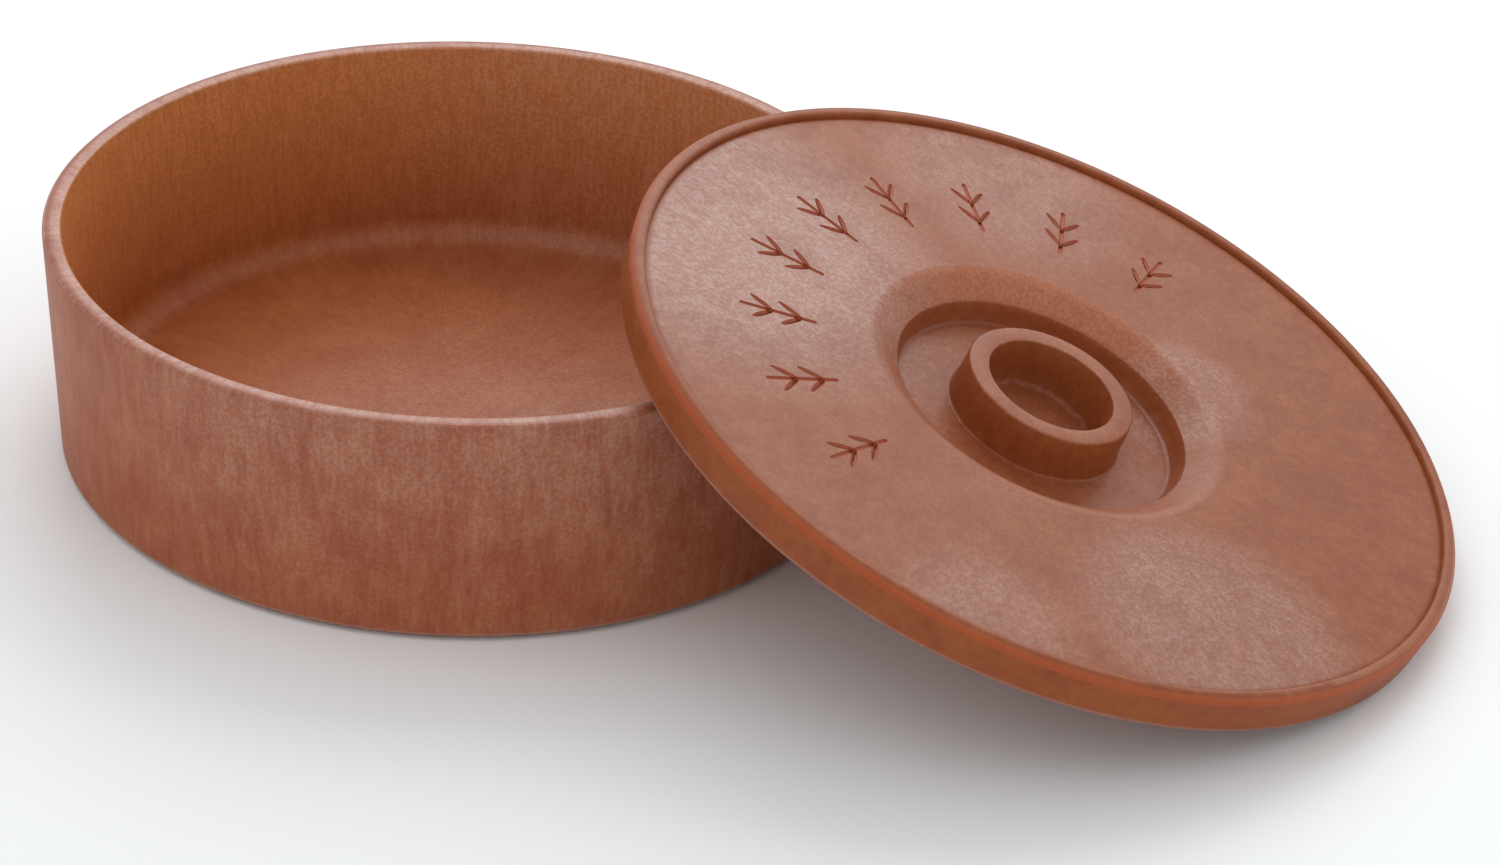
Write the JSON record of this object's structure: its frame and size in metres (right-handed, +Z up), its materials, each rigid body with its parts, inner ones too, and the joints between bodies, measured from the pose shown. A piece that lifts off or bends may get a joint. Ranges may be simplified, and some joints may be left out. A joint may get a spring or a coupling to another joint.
{
  "type": "tortilla server",
  "caption": "Round flat-bread server: a straight-sided open tub with a loose flat lid leaning on it, gripped by a hollow knob sunk in the lid's middle.",
  "frame": {"origin": "centre of the plane the tub's foot ring stands on", "axes": "+Z up along the tub's axis; +X from the tub towards the leaning lid; +Y to the left when looking along +X"},
  "size_m": [0.4626, 0.2794, 0.1089],
  "materials": {
    "tub_plastic": "terracotta-coloured plastic with fine pale flecks, moulded with a faint fibre-like figure, satin",
    "lid_plastic": "terracotta-coloured plastic with fine pale flecks, moulded with a faint fibre-like figure, satin"
  },
  "bodies": {
    "tub": {"tub": "tub_plastic"},
    "lid": {"lid": "lid_plastic"}
  },
  "joints": [
    {"name": "lid_lift", "type": "slide", "parent": "tub", "child": "lid", "axis": [0, 0, 1], "range_m": [0, 0.12]}
  ]
}
